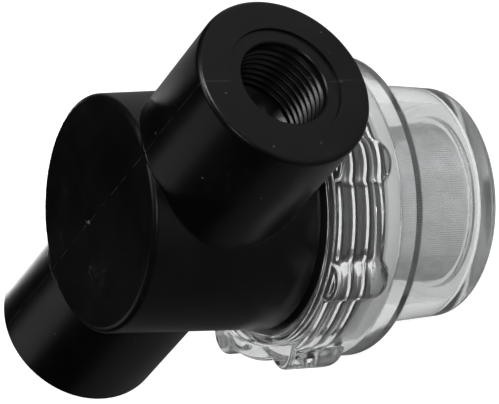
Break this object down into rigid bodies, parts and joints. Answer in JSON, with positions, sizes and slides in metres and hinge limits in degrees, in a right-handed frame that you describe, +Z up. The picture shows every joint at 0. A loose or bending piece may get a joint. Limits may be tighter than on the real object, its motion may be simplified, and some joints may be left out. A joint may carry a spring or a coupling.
{
  "type": "water pump strainer",
  "caption": "In-line water strainer: black moulded head with opposed threaded ports and a clear screw-on bowl with grip lugs round a stainless mesh screen.",
  "frame": {"origin": "centre of the bowl's flat underside, on the common axis of bowl and head", "axes": "+Z up from the bowl to the head's closed end, X along both ports, +X towards the port that faces the camera in the picture"},
  "size_m": [0.1044, 0.07, 0.0845],
  "materials": {
    "clear_plastic": "clear moulded polycarbonate, polished",
    "screen_steel": "woven stainless wire",
    "seal_silicone": "milky natural silicone",
    "black_plastic": "satin black moulded polypropylene"
  },
  "bodies": {
    "bowl": {"clear_bowl": "clear_plastic", "screen": "screen_steel"},
    "seal": {"bowl_seal": "seal_silicone"},
    "head": {"strainer_head": "black_plastic"}
  },
  "joints": [
    {"name": "bowl_thread", "type": "hinge", "parent": "bowl", "child": "seal", "pos_m": [0, 0, 0.0309], "axis": [0, 0, 1], "range_deg": [0, 1240]},
    {"name": "thread_lift", "type": "slide", "parent": "seal", "child": "head", "axis": [0, 0, 1], "range_m": [0, 0.01172]}
  ],
  "couplings": [
    {"joint": "thread_lift", "follows": "bowl_thread", "m_per_rad": 0.00054113}
  ]
}
